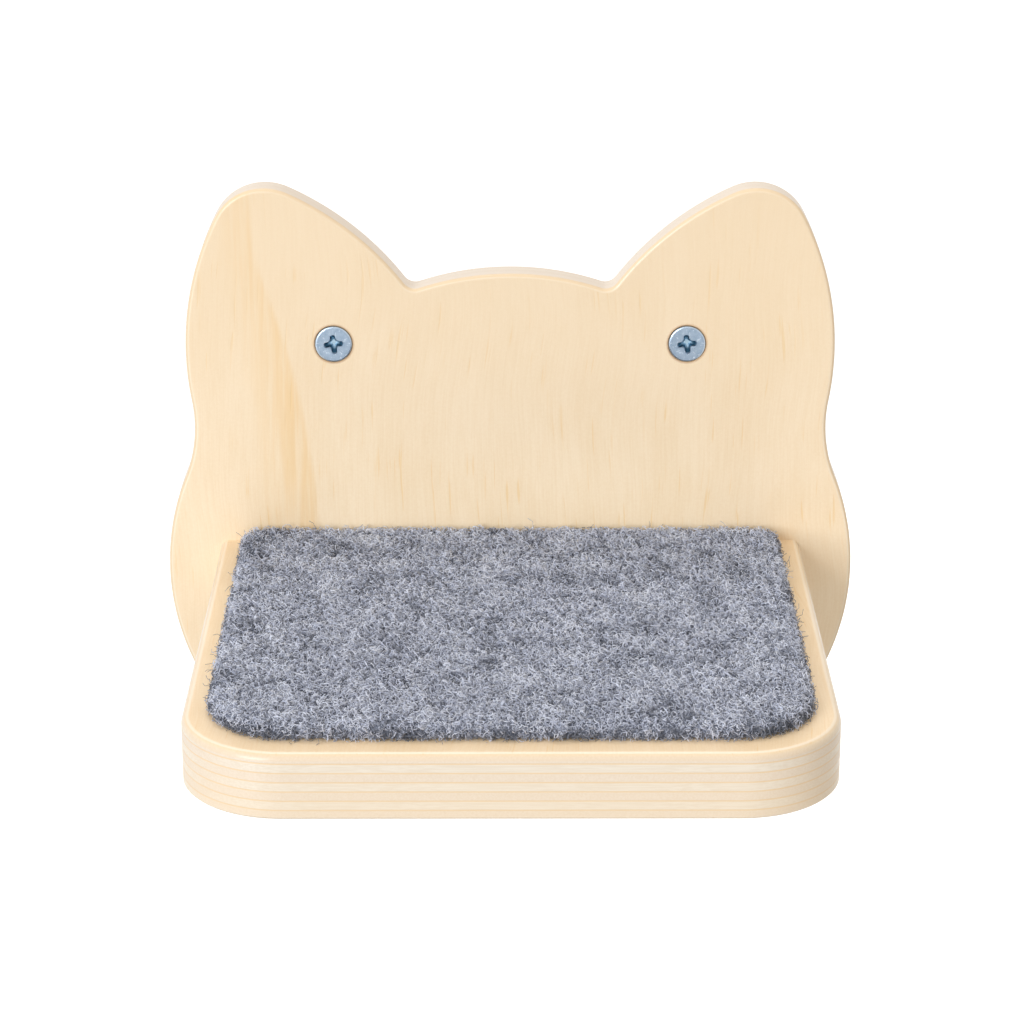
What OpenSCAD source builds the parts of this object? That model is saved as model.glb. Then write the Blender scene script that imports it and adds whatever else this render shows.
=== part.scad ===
// Cat wall shelf: a cat-head back plate, a shelf board screwed and dowelled to it, and a carpet pad.
// X runs across the plate, +Y into the wall and +Z up. Y = 0 is the wall, and Z = 0 is the line through
// the two wall screws, midway between which the origin lies.

/* [Back plate] */
// Thickness of the back plate
plate_t = 9; // [8:0.5:14]
// Rounding of the plate's front edge
plate_edge_r = 1.2; // [0.5:0.1:2.5]
// Broken edge on the plate's wall side
plate_arris = 0.4; // [0.2:0.1:1]

/* [Cat-head outline] */
// Width across the cheeks, the widest line of the plate
cheek_w = 203.5; // [200:0.5:220]
// Radius of the cheeks
cheek_r = 76; // [72:1:84]
// Drop of the cheeks' widest line below the wall screws
cheek_drop = 70; // [66:0.5:76]
// Angle below level at which a cheek turns into the jaw
jaw_turn = 25; // [15:1:35]
// Radius of the jaw corners
jaw_r = 58; // [50:1:66]
// Radius of the chin
chin_r = 160; // [130:5:260]
// Radius of the hollow between a cheek and an ear
hollow_r = 43; // [25:1:60]
// Width across the ears
ear_w = 189.5; // [184:0.5:196]
// Drop of the ears' widest line below the wall screws
ear_drop = 2.5; // [0:0.5:6]
// Radius of an ear's outer side
ear_outer_r = 88; // [80:1:100]
// Radius of an ear's inner side
ear_inner_r = 88; // [84:0.5:92]
// Distance from the centre line to the centre of an inner side
ear_inner_x = 101; // [98:0.5:104]
// Drop of that centre below the wall screws
ear_inner_drop = 35; // [31:0.5:38]
// Radius of the ear tips
ear_tip_r = 16; // [8:0.5:22]
// Height of the crown above the wall screws
crown_rise = 21; // [16:0.5:26]
// Radius of the crown between the ears
crown_r = 83; // [70:1:140]
// Radius of the notch where the crown meets an ear
notch_r = 4; // [1.5:0.5:8]

/* [Shelf board] */
// Width of the shelf board
shelf_w = 172; // [150:1:184]
// Reach of the shelf board from the plate
shelf_depth = 155; // [120:1:200]
// Thickness of the shelf board
shelf_t = 18; // [15:0.5:24]
// Drop of the board's top surface below the wall screws
shelf_drop = 61; // [50:0.5:80]
// Radius of the board's two front corners
shelf_corner_r = 27.5; // [15:0.5:50]
// Rounding of the board's top edge
shelf_edge_r = 2.2; // [1:0.1:4]
// Broken edge under the board
shelf_arris = 0.5; // [0.2:0.1:1]

/* [Carpet pad] */
// Thickness of the carpet pad
pad_t = 4.5; // [3:0.5:10]
// Width of bare board at each side of the pad
pad_side_inset = 7; // [3:0.5:25]
// Width of bare board in front of the pad
pad_front_inset = 8.5; // [3:0.5:25]
// Gap between the pad and the plate
pad_back_gap = 1; // [0.5:0.5:10]
// Radius of the pad's front corners
pad_front_r = 22; // [8:0.5:35]
// Radius of the pad's back corners
pad_back_r = 5; // [2:0.5:15]
// Rounding of the pad's top edge
pad_edge_r = 1.8; // [0.5:0.1:2.5]
// Broken edge under the pad
pad_arris = 0.2; // [0.1:0.1:0.4]
// Thickness of the adhesive sheet under the pad
adhesive_t = 0.3; // [0.2:0.1:1]
// How far the adhesive sheet stays inside the pad's outline
adhesive_inset = 4; // [1:0.5:4.5]

/* [Wall screws] */
// Distance between the two wall screws
screw_span = 103; // [90:1:130]
// Outer diameter of the thread
wall_thread_d = 6; // [5:0.5:7]
// Diameter of the plain neck under the head
wall_neck_d = 4.4; // [3.6:0.1:4.8]
// Diameter of the head
wall_head_d = 10.8; // [10:0.1:13]
// Height of the head's straight rim
wall_head_rim = 0.6; // [0.4:0.1:1]
// How far the head stands proud of the plate
wall_head_proud = 0.4; // [0.1:0.1:0.5]
// Overall length
wall_screw_l = 50; // [40:1:80]
// Width across the cross recess
wall_recess_w = 5.4; // [4:0.1:6.5]
// Width of each arm of the cross recess
wall_recess_arm = 1.3; // [0.8:0.1:1.6]
// Depth of the cross recess
wall_recess_depth = 2.6; // [1.5:0.1:3]
// How far each wall screw has stopped from square, anticlockwise as seen from the front
wall_recess_turn = 6.5; // [0:0.5:45]

/* [Shelf joint] */
// Distance from the centre line to an outer joint screw
joint_screw_x = 60; // [45:1:68]
// Outer diameter of the thread
joint_thread_d = 4; // [3.5:0.5:5]
// Diameter of the plain neck under the head
joint_neck_d = 2.9; // [2.4:0.1:3.2]
// Diameter of the head
joint_head_d = 7.8; // [7:0.1:9]
// Height of the head's straight rim
joint_head_rim = 0.4; // [0.3:0.1:0.6]
// How far the head is sunk below the plate's wall side
joint_head_sunk = 0.3; // [0.2:0.1:1]
// Overall length
joint_screw_l = 40; // [30:1:60]
// Width across the cross recess
joint_recess_w = 4; // [3:0.1:4.5]
// Width of each arm of the cross recess
joint_recess_arm = 0.9; // [0.6:0.1:1.2]
// Depth of the cross recess
joint_recess_depth = 1.9; // [1:0.1:2.2]
// Distance from the centre line to each dowel
dowel_x = 30; // [15:1:45]
// Diameter of the dowels
dowel_d = 6; // [5:0.5:8]
// Length of the dowels
dowel_l = 30; // [20:1:40]
// Bevel on the dowels' ends
dowel_bevel = 0.8; // [0.4:0.1:1.5]
// Wood left between a dowel and the wall side of the plate
dowel_cover = 3; // [2:0.5:4]

/* [Fits] */
// Radial clearance of a dowel or a thread in its bore
bore_gap = 0.05; // [0.02:0.01:0.1]
// Radial clearance of a thread in the hole that it passes through
pass_gap = 0.3; // [0.2:0.1:0.5]
// Clearance between a countersunk head and its seat, measured across the axis
seat_gap = 0.1; // [0.05:0.05:0.3]
// Length of bore left free past the end of a dowel or screw
bore_relief = 1; // [0.5:0.5:3]

/* [Hidden] */

plywood = "#ecdcc0";
carpet = "#8b929c";
zinc = "#c3c7cc";
beech = "#d8b98c";
glue_film = "#e9e4d6";

// Longest chord and widest angle between two points on a curved outline
chord_l = 3.6;
chord_deg = 8;
// Steps round an eased edge
edge_steps = 4;
// Length of a screw's point as a share of its thread diameter
point_share = 1.1;
// Radius left at a screw's sharp end
point_r = 0.25;
// Bevel at a head's upper rim
rim_bevel = 0.25;
// Share of a recess's width that is left at its floor
recess_floor_share = 0.35;
// Radius of a recess's inner corners as a share of its arms' width
recess_corner_share = 0.35;
// How far a cutter runs past the face that it opens
cut_past = 1;

shelf_top_z = -shelf_drop;
joint_z = shelf_top_z - shelf_t / 2;
pad_low_z = shelf_top_z + adhesive_t;
pad_w = shelf_w - 2 * pad_side_inset;
pad_back_y = -plate_t - pad_back_gap;
pad_front_y = -plate_t - shelf_depth + pad_front_inset;

// Geometry of circles that touch
function direction(from, to) = atan2(to.y - from.y, to.x - from.x);
function on_circle(c, r, angle) = c + r * [cos(angle), sin(angle)];
// The point at distance a from p and b from q, on the left of the way from p to q
function meeting(p, a, q, b) = let(d = norm(q - p), x = (a * a - b * b + d * d) / (2 * d))
    on_circle(p, a, direction(p, q) + acos(x / a));
// The turn from one angle to another, within half a circle either way
function turn(from, to) = (to - from + 540) % 360 - 180;
// Points of an arc [centre, radius, first angle, last angle, 1 if it bulges out or -1 if it is hollow],
// with the outline set in by inset
function arc_points(arc, inset) = let(sweep = turn(arc[2], arc[3]), r = arc[1] - arc[4] * inset,
    steps = max(2, ceil(max(abs(sweep) / chord_deg, abs(sweep) * PI / 180 * arc[1] / chord_l))))
    [for (i = [0:steps]) on_circle(arc[0], r, arc[2] + sweep * i / steps)];
// Drops points that repeat the one before
function distinct(points) = [for (i = [0:len(points) - 1])
    if (i == 0 || norm(points[i] - points[max(0, i - 1)]) > 0.001) points[i]];
// A closed outline from its right half, which runs from the top of the centre line to its foot
function both_halves(half) = let(n = len(half))
    concat(half, [for (i = [n - 2:-1:1]) [-half[i].x, half[i].y]]);

// The right half of the cat head, as circles that touch: crown, notch, ear, hollow, cheek, jaw
// and chin
crown_c = [0, crown_rise - crown_r];
inner_c = [ear_inner_x, -ear_inner_drop];
outer_c = [ear_w / 2 - ear_outer_r, -ear_drop];
cheek_c = [cheek_w / 2 - cheek_r, -cheek_drop];
notch_c = meeting(crown_c, crown_r + notch_r, inner_c, ear_inner_r + notch_r);
tip_c = meeting(outer_c, ear_outer_r - ear_tip_r, inner_c, ear_inner_r - ear_tip_r);
hollow_c = meeting(outer_c, ear_outer_r + hollow_r, cheek_c, cheek_r + hollow_r);
jaw_c = on_circle(cheek_c, cheek_r - jaw_r, -jaw_turn);
chin_c = [0, jaw_c.y + sqrt(pow(chin_r - jaw_r, 2) - pow(jaw_c.x, 2))];
head_arcs = [
    [crown_c, crown_r, 90, direction(crown_c, notch_c), 1],
    [notch_c, notch_r, direction(notch_c, crown_c), direction(notch_c, inner_c), -1],
    [inner_c, ear_inner_r, direction(inner_c, notch_c), direction(inner_c, tip_c), 1],
    [tip_c, ear_tip_r, direction(inner_c, tip_c), direction(outer_c, tip_c), 1],
    [outer_c, ear_outer_r, direction(outer_c, tip_c), direction(outer_c, hollow_c), 1],
    [hollow_c, hollow_r, direction(hollow_c, outer_c), direction(hollow_c, cheek_c), -1],
    [cheek_c, cheek_r, direction(cheek_c, hollow_c), -jaw_turn, 1],
    [jaw_c, jaw_r, -jaw_turn, direction(chin_c, jaw_c), 1],
    [chin_c, chin_r, direction(chin_c, jaw_c), -90, 1],
];
function head_outline(inset) =
    both_halves(distinct([for (arc = head_arcs) each arc_points(arc, inset)]));

// The shelf board seen from above, set in by inset everywhere but at the back edge, which meets the plate
function board_outline(inset) = let(corner_c = [shelf_w / 2, -shelf_depth] + shelf_corner_r * [-1, 1])
    both_halves([[0, 0], [shelf_w / 2 - inset, 0],
        each arc_points([corner_c, shelf_corner_r, 0, -90, 1], inset), [0, inset - shelf_depth]]);

// The pad seen from above, set in by inset all round
function pad_outline(inset) = let(back_c = [pad_w / 2, pad_back_y] - pad_back_r * [1, 1],
    front_c = [pad_w / 2, pad_front_y] + pad_front_r * [-1, 1])
    both_halves([[0, pad_back_y - inset], each arc_points([back_c, pad_back_r, 90, 0, 1], inset),
        each arc_points([front_c, pad_front_r, 0, -90, 1], inset), [0, pad_front_y + inset]]);

// Heights and insets up the edge of a slab: a flat bevel below, and a quarter round above
function eased_edge(t, low, high) = [[0, low], [low, 0],
    for (i = [0:edge_steps]) let(a = 90 * i / edge_steps) [t - high * (1 - sin(a)), high * (1 - cos(a))]];

// A slab whose outline is drawn at each height: rings of points from the lowest to the highest, and a
// point on the centre line from which each end face fans out
module slab(rings, centre) {
    n = len(rings[0]);
    last = len(rings) - 1;
    hubs = [[centre.x, centre.y, rings[0][0].z], [centre.x, centre.y, rings[last][0].z]];
    low_hub = n * len(rings);
    high_hub = low_hub + 1;
    walls = [for (k = [0:last - 1]) for (i = [0:n - 1]) let(j = (i + 1) % n, a = k * n, b = a + n)
        each [[a + i, b + i, b + j], [a + i, b + j, a + j]]];
    ends = [for (i = [0:n - 1]) let(j = (i + 1) % n)
        each [[low_hub, i, j], [high_hub, last * n + j, last * n + i]]];
    polyhedron(points = concat([for (ring = rings) each ring], hubs), faces = concat(walls, ends));
}

// A countersunk wood screw with its head's top at the origin, driven along +Z
module wood_screw(head_d, rim, neck_d, neck_end, thread_d, length) {
    head_r = head_d / 2;
    neck_r = neck_d / 2;
    thread_r = thread_d / 2;
    rotate_extrude($fn = 48) polygon([[0, 0], [head_r - rim_bevel, 0], [head_r, rim_bevel], [head_r, rim],
        [neck_r, rim + head_r - neck_r], [neck_r, neck_end - thread_r + neck_r], [thread_r, neck_end],
        [thread_r, length - point_share * thread_d], [point_r, length], [0, length]]);
}

// The cross recess in a head's top: four arms with rounded inner corners, tapering to their floor
module cross_recess(w, arm, depth) {
    widening = w / 2 * (1 - recess_floor_share) / depth;
    corner_r = arm * recess_corner_share;
    intersection() {
        translate([0, 0, -cut_past]) linear_extrude(depth + cut_past) difference() {
            union() {
                square([2 * w, arm], center = true);
                square([arm, 2 * w], center = true);
                square(arm + 2 * corner_r, center = true);
            }
            for (x = [-1, 1], y = [-1, 1])
                translate((arm / 2 + corner_r) * [x, y]) circle(corner_r, $fn = 24);
        }
        translate([0, 0, -cut_past]) cylinder(h = depth + cut_past, r1 = w / 2 + widening * cut_past,
            r2 = w / 2 * recess_floor_share, $fn = 48);
    }
}

// The hole for such a screw, from above its head's top to past depth: a passing hole and a countersink
module screw_hole(head_d, rim, thread_d, depth) {
    hole_r = thread_d / 2 + pass_gap;
    mouth_r = head_d / 2 + rim + seat_gap + cut_past;
    translate([0, 0, -cut_past]) cylinder(h = mouth_r - hole_r, r1 = mouth_r, r2 = hole_r, $fn = 48);
    translate([0, 0, -cut_past]) cylinder(h = depth + 2 * cut_past, r = hole_r, $fn = 48);
}

module at_wall_screw(side) {
    translate([side * screw_span / 2, -plate_t - wall_head_proud, 0]) rotate([-90, 0, 0]) children();
}

module at_joint_screw(side) {
    translate([side * joint_screw_x, -joint_head_sunk, joint_z]) rotate([90, 0, 0]) children();
}

module at_dowel(side) {
    translate([side * dowel_x, -dowel_cover, joint_z]) rotate([90, 0, 0]) children();
}

module back_plate() {
    color(plywood) difference() {
        rotate([90, 0, 0]) slab([for (edge = eased_edge(plate_t, plate_arris, plate_edge_r))
            [for (p = head_outline(edge[1])) [p.x, p.y, edge[0]]]], [0, -shelf_drop]);
        for (side = [-1, 1]) at_wall_screw(side)
            screw_hole(wall_head_d, wall_head_rim, wall_thread_d, plate_t + wall_head_proud);
        for (side = [-1:1]) at_joint_screw(side)
            screw_hole(joint_head_d, joint_head_rim, joint_thread_d, plate_t);
        for (side = [-1, 1]) at_dowel(side)
            cylinder(h = plate_t, r = dowel_d / 2 + bore_gap, $fn = 48);
    }
}

module shelf_board() {
    color(plywood) difference() {
        translate([0, -plate_t, shelf_top_z - shelf_t])
            slab([for (edge = eased_edge(shelf_t, shelf_arris, shelf_edge_r))
                [for (p = board_outline(edge[1])) [p.x, p.y, edge[0]]]], [0, -shelf_depth / 2]);
        for (side = [-1:1]) at_joint_screw(side)
            cylinder(h = joint_screw_l + bore_relief, r = joint_thread_d / 2 + bore_gap, $fn = 48);
        for (side = [-1, 1]) at_dowel(side)
            cylinder(h = dowel_l + bore_relief, r = dowel_d / 2 + bore_gap, $fn = 48);
    }
}

module carpet_pad() {
    color(carpet) translate([0, 0, pad_low_z])
        slab([for (edge = eased_edge(pad_t, pad_arris, pad_edge_r))
            [for (p = pad_outline(edge[1])) [p.x, p.y, edge[0]]]], [0, (pad_back_y + pad_front_y) / 2]);
}

module pad_adhesive() {
    color(glue_film) translate([0, 0, shelf_top_z])
        linear_extrude(adhesive_t) polygon(pad_outline(adhesive_inset));
}

module wall_screw(side) {
    color(zinc) at_wall_screw(side) difference() {
        wood_screw(wall_head_d, wall_head_rim, wall_neck_d, plate_t + wall_head_proud,
            wall_thread_d, wall_screw_l);
        rotate([0, 0, -wall_recess_turn]) cross_recess(wall_recess_w, wall_recess_arm, wall_recess_depth);
    }
}

module joint_screw(side) {
    color(zinc) at_joint_screw(side) difference() {
        wood_screw(joint_head_d, joint_head_rim, joint_neck_d, plate_t - joint_head_sunk,
            joint_thread_d, joint_screw_l);
        cross_recess(joint_recess_w, joint_recess_arm, joint_recess_depth);
    }
}

module dowel(side) {
    color(beech) at_dowel(side) rotate_extrude($fn = 48) polygon([[0, 0], [dowel_d / 2 - dowel_bevel, 0],
        [dowel_d / 2, dowel_bevel], [dowel_d / 2, dowel_l - dowel_bevel],
        [dowel_d / 2 - dowel_bevel, dowel_l], [0, dowel_l]]);
}

back_plate();
shelf_board();
carpet_pad();
pad_adhesive();
wall_screw(-1);  // wall_screw_left
wall_screw(1);  // wall_screw_right
joint_screw(-1);  // joint_screw_left
joint_screw(0);  // joint_screw_centre
joint_screw(1);  // joint_screw_right
dowel(-1);  // dowel_left
dowel(1);  // dowel_right
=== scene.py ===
import math

import bmesh
import bpy
from mathutils import Matrix, Vector


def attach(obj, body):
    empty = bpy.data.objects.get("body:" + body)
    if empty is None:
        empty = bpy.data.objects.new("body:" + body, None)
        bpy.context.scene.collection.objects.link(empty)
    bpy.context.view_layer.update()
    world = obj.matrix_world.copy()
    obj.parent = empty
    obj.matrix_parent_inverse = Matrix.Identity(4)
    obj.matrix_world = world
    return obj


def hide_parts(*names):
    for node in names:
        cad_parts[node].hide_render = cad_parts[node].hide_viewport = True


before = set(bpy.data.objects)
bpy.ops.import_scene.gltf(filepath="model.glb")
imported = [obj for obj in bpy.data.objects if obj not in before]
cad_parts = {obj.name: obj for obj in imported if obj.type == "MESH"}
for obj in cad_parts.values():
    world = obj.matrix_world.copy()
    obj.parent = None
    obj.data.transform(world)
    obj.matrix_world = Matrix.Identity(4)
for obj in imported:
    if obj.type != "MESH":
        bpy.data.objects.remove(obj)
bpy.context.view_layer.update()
scene = bpy.context.scene
MM = 0.001


# The back plate is 9 mm plywood of five plies, cut in the outline of a cat's head with its grain upright.
# Its front edge is rounded over, and clear satin lacquer covers it all. Two countersunk holes take the
# wall screws. The holes for the shelf's screws and dowels are drilled from behind and don't show in front.

# Sizes are in mm. A place on the plate is (x, height), from midway between the wall screws.
PLATE_THICK, PLATE_PLIES, PLATE_ROUND, PLATE_ARRIS = 9, 5, 1.2, 0.4
CROWN_TOP, CROWN_R, NOTCH_R = 21, 83, 4
EAR_INNER_AT, EAR_INNER_R = (101, -35), 88
EAR_OUTER_AT, EAR_OUTER_R = (6.75, -2.5), 88
EAR_TIP_R, HOLLOW_R = 16, 43
CHEEK_AT, CHEEK_R = (25.75, -70), 76
JAW_TURN, JAW_R, CHIN_R = math.radians(25), 58, 160
CHORD, CHORD_TURN = 1.6, math.radians(4)


def direction(start, end):
    return math.atan2(end[1] - start[1], end[0] - start[0])


def on_circle(centre, radius, angle):
    return centre[0] + radius * math.cos(angle), centre[1] + radius * math.sin(angle)


def meeting(p, reach_p, q, reach_q):
    """The point at these two reaches from p and q, on the left of the way from p to q."""
    gap = math.dist(p, q)
    lean = math.acos((reach_p ** 2 - reach_q ** 2 + gap ** 2) / (2 * reach_p * gap))
    return on_circle(p, reach_p, direction(p, q) + lean)


def arc(centre, radius, first, last, bulge=1, inset=0):
    """Points along an arc that bulges out (1) or is hollow (-1), with the outline set in by inset."""
    sweep = (last - first + 3 * math.pi) % (2 * math.pi) - math.pi
    steps = max(3, math.ceil(abs(sweep) * radius / CHORD), math.ceil(abs(sweep) / CHORD_TURN))
    return [on_circle(centre, radius - bulge * inset, first + sweep * i / steps)
            for i in range(steps + 1)]


def both_halves(half):
    """A closed outline from its right half, which runs from the centre line back to it."""
    return half + [(-x, y) for x, y in reversed(half[1:-1])]


def cat_head(inset):
    """The plate's outline: crown, notch, ear, hollow, cheek, jaw and chin, as circles that touch."""
    crown = (0, CROWN_TOP - CROWN_R)
    notch = meeting(crown, CROWN_R + NOTCH_R, EAR_INNER_AT, EAR_INNER_R + NOTCH_R)
    tip = meeting(EAR_OUTER_AT, EAR_OUTER_R - EAR_TIP_R, EAR_INNER_AT, EAR_INNER_R - EAR_TIP_R)
    hollow = meeting(EAR_OUTER_AT, EAR_OUTER_R + HOLLOW_R, CHEEK_AT, CHEEK_R + HOLLOW_R)
    jaw = on_circle(CHEEK_AT, CHEEK_R - JAW_R, -JAW_TURN)
    chin = (0, jaw[1] + math.sqrt((CHIN_R - JAW_R) ** 2 - jaw[0] ** 2))
    arcs = [
        (crown, CROWN_R, math.pi / 2, direction(crown, notch), 1),
        (notch, NOTCH_R, direction(notch, crown), direction(notch, EAR_INNER_AT), -1),
        (EAR_INNER_AT, EAR_INNER_R, direction(EAR_INNER_AT, notch), direction(EAR_INNER_AT, tip), 1),
        (tip, EAR_TIP_R, direction(EAR_INNER_AT, tip), direction(EAR_OUTER_AT, tip), 1),
        (EAR_OUTER_AT, EAR_OUTER_R, direction(EAR_OUTER_AT, tip), direction(EAR_OUTER_AT, hollow), 1),
        (hollow, HOLLOW_R, direction(hollow, EAR_OUTER_AT), direction(hollow, CHEEK_AT), -1),
        (CHEEK_AT, CHEEK_R, direction(CHEEK_AT, hollow), -JAW_TURN, 1),
        (jaw, JAW_R, -JAW_TURN, direction(chin, jaw), 1),
        (chin, CHIN_R, direction(chin, jaw), -math.pi / 2, 1),
    ]
    half = [(0, CROWN_TOP - inset)]
    for centre, radius, first, last, bulge in arcs:
        half += arc(centre, radius, first, last, bulge, inset)[1:]
    return both_halves(half)


def eased(thick, low, high, steps=8):
    """(height, inset) up a board's edge: a flat bevel below and a quarter round above."""
    turns = [math.pi / 2 * i / steps for i in range(steps + 1)]
    return [(0, low), (low, 0)] + [
        (thick - high * (1 - math.sin(a)), high * (1 - math.cos(a))) for a in turns]


def new_piece(name, mesh):
    piece = bpy.data.objects.new(name, mesh)
    scene.collection.objects.link(piece)
    return piece


def face_outwards(mesh):
    shape = bmesh.new()
    shape.from_mesh(mesh)
    bmesh.ops.recalc_face_normals(shape, faces=shape.faces)
    shape.to_mesh(mesh)
    shape.free()


def slab(name, rings):
    """A closed board from rings of points in mm, from its lowest face to its highest."""
    around = len(rings[0])
    faces = [[k * around + i, k * around + (i + 1) % around,
              (k + 1) * around + (i + 1) % around, (k + 1) * around + i]
             for k in range(len(rings) - 1) for i in range(around)]
    faces += [list(range(around)), list(range((len(rings) - 1) * around, len(rings) * around))]
    mesh = bpy.data.meshes.new(name)
    mesh.from_pydata([Vector(p) * MM for ring in rings for p in ring], [], faces)
    face_outwards(mesh)
    return new_piece(name, mesh)


def turned(name, profile, place=Matrix.Identity(4), steps=64, flutes=0, flute_depth=0):
    """A closed body turned from (radius, height) pairs in mm, along Z, with flutes cut along it."""
    points, rings = [], []
    for radius, height in profile:
        count = steps if radius else 1
        rings.append([len(points) + i for i in range(count)])
        for i in range(count):
            angle = 2 * math.pi * i / steps
            cut = flute_depth * (0.5 + 0.5 * math.cos(flutes * angle)) if flutes else 0
            points.append(Vector((*on_circle((0, 0), max(radius - cut, 0), angle), height)) * MM)
    faces = []
    for low, high in zip(rings, rings[1:]):
        for i in range(steps):
            a, b = low[i % len(low)], low[(i + 1) % len(low)]
            c, d = high[(i + 1) % len(high)], high[i % len(high)]
            faces.append(list(dict.fromkeys((a, b, c, d))))
    mesh = bpy.data.meshes.new(name)
    mesh.from_pydata(points, [], faces)
    face_outwards(mesh)
    mesh.transform(place)
    return new_piece(name, mesh)


def settle(piece):
    """Makes what the modifiers give the piece's own mesh."""
    shown = piece.evaluated_get(bpy.context.evaluated_depsgraph_get())
    mesh = bpy.data.meshes.new_from_object(shown)
    piece.modifiers.clear()
    piece.data = mesh


def drill(piece, bits):
    """Cuts the bits out of the piece, and puts them away."""
    for bit in bits:
        cut = piece.modifiers.new("drill", "BOOLEAN")
        cut.operation, cut.solver, cut.object = "DIFFERENCE", "EXACT", bit
    settle(piece)
    for bit in bits:
        bpy.data.objects.remove(bit)


def shade(piece, flat_area=60):
    """Smooth shading with sharp creases, but flat on a face over flat_area in mm2 or square to an axis."""
    crease, square = math.radians(32), 0.9999
    mesh = piece.data
    mesh.set_sharp_from_angle(angle=crease)
    mesh.polygons.foreach_set("use_smooth", [
        p.area < flat_area * MM * MM and max(map(abs, p.normal)) < square for p in mesh.polygons])


def into_wall(x, y, z):
    """The place of a screw or hole that runs towards the wall, in metres."""
    return Matrix.Translation(Vector((x, y, z)) * MM) @ Matrix.Rotation(-math.pi / 2, 4, "X")


def out_of_wall(x, y, z):
    """The place of a screw, dowel or hole that runs away from the wall."""
    return Matrix.Translation(Vector((x, y, z)) * MM) @ Matrix.Rotation(math.pi / 2, 4, "X")


WALL_SCREW_X, WALL_HEAD_R, WALL_RIM, WALL_PROUD, WALL_THREAD_R = 51.5, 5.4, 0.6, 0.4, 3
JOINT_X, JOINT_Z, JOINT_HEAD_R, JOINT_RIM, JOINT_SUNK, JOINT_THREAD_R = 60, -70, 3.9, 0.4, 0.3, 2
DOWEL_X, DOWEL_R, DOWEL_COVER = 30, 3, 3
PASS_GAP, SEAT_GAP, BORE_GAP, CUT_PAST = 0.3, 0.1, 0.05, 1


def screw_hole(head_r, rim, thread_r, depth, place):
    """A bit for a passing hole with a countersink, from above the head's top to past depth."""
    hole_r, mouth_r = thread_r + PASS_GAP, head_r + rim + SEAT_GAP + CUT_PAST
    return turned("bit", [
        (0, -CUT_PAST), (mouth_r, -CUT_PAST), (hole_r, mouth_r - hole_r - CUT_PAST),
        (hole_r, depth + CUT_PAST), (0, depth + CUT_PAST)], place)


def bore(radius, depth, place, steps=32):
    """A bit for the blind hole of a thread or dowel of this radius."""
    return turned("bit", [(0, 0), (radius + BORE_GAP, 0), (radius + BORE_GAP, depth), (0, depth)],
                  place, steps)


back_plate = slab("cat_head_plate", [
    [(x, -height, z) for x, z in cat_head(inset)]
    for height, inset in eased(PLATE_THICK, PLATE_ARRIS, PLATE_ROUND)])
drill(back_plate, [
    screw_hole(WALL_HEAD_R, WALL_RIM, WALL_THREAD_R, PLATE_THICK + WALL_PROUD,
               into_wall(side * WALL_SCREW_X, -PLATE_THICK - WALL_PROUD, 0)) for side in (-1, 1)
] + [
    screw_hole(JOINT_HEAD_R, JOINT_RIM, JOINT_THREAD_R, PLATE_THICK,
               out_of_wall(side * JOINT_X, -JOINT_SUNK, JOINT_Z)) for side in (-1, 0, 1)
] + [
    bore(DOWEL_R, PLATE_THICK, out_of_wall(side * DOWEL_X, -DOWEL_COVER, JOINT_Z), 64)
    for side in (-1, 1)
])
shade(back_plate)


def rgb(red, green, blue):
    """A colour as it shows, from 0 to 255, as the light that it stands for."""
    return (*(((c / 255 + 0.055) / 1.055) ** 2.4 for c in (red, green, blue)), 1)


def add(tree, kind, inputs=(), **settings):
    """Adds a node with these settings, and links or sets its inputs."""
    made = tree.nodes.new(kind)
    for name, value in settings.items():
        setattr(made, name, value)
    for socket, value in dict(inputs).items():
        if isinstance(value, bpy.types.NodeSocket):
            tree.links.new(value, made.inputs[socket])
        else:
            made.inputs[socket].default_value = value
    return made


def maths(tree, operation, *values, clamp=False):
    return add(tree, "ShaderNodeMath", enumerate(values), operation=operation, use_clamp=clamp).outputs[0]


def product(tree, first, *others):
    for other in others:
        first = maths(tree, "MULTIPLY", first, other)
    return first


def total(tree, first, *others):
    for other in others:
        first = maths(tree, "ADD", first, other)
    return first


def less(tree, first, second):
    return maths(tree, "SUBTRACT", first, second)


def hypotenuse(tree, across, up):
    return maths(tree, "SQRT", maths(tree, "MULTIPLY_ADD", across, across, product(tree, up, up)))


def vector_of(tree, operation, *values):
    return add(tree, "ShaderNodeVectorMath", enumerate(values), operation=operation).outputs[0]


def scaled(tree, vector, by):
    return add(tree, "ShaderNodeVectorMath", {0: vector, "Scale": by}, operation="SCALE").outputs[0]


def vector_from(tree, x=0.0, y=0.0, z=0.0):
    return add(tree, "ShaderNodeCombineXYZ", {0: x, 1: y, 2: z}).outputs[0]


def axes_of(tree, vector):
    return add(tree, "ShaderNodeSeparateXYZ", {0: vector}).outputs


def share(tree, value, low=0.3, high=0.7, to_low=0.0, to_high=1.0, kind="SMOOTHSTEP"):
    """How far the value has come from low to high. Without them it is the range that a noise fills."""
    return add(tree, "ShaderNodeMapRange",
               {0: value, 1: low, 2: high, 3: to_low, 4: to_high}, interpolation_type=kind).outputs[0]


def blend_of(tree, amount, first, second, kind="MIX"):
    """The colour between two others."""
    made = add(tree, "ShaderNodeMix", data_type="RGBA", blend_type=kind)
    for index, value in ((0, amount), (6, first), (7, second)):
        if isinstance(value, bpy.types.NodeSocket):
            tree.links.new(value, made.inputs[index])
        else:
            made.inputs[index].default_value = value
    return made.outputs[2]


def noise(tree, place, scale=1.0, detail=2.0, rough=0.5):
    return add(tree, "ShaderNodeTexNoise",
               {"Vector": place, "Scale": scale, "Detail": detail, "Roughness": rough}).outputs[0]


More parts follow.
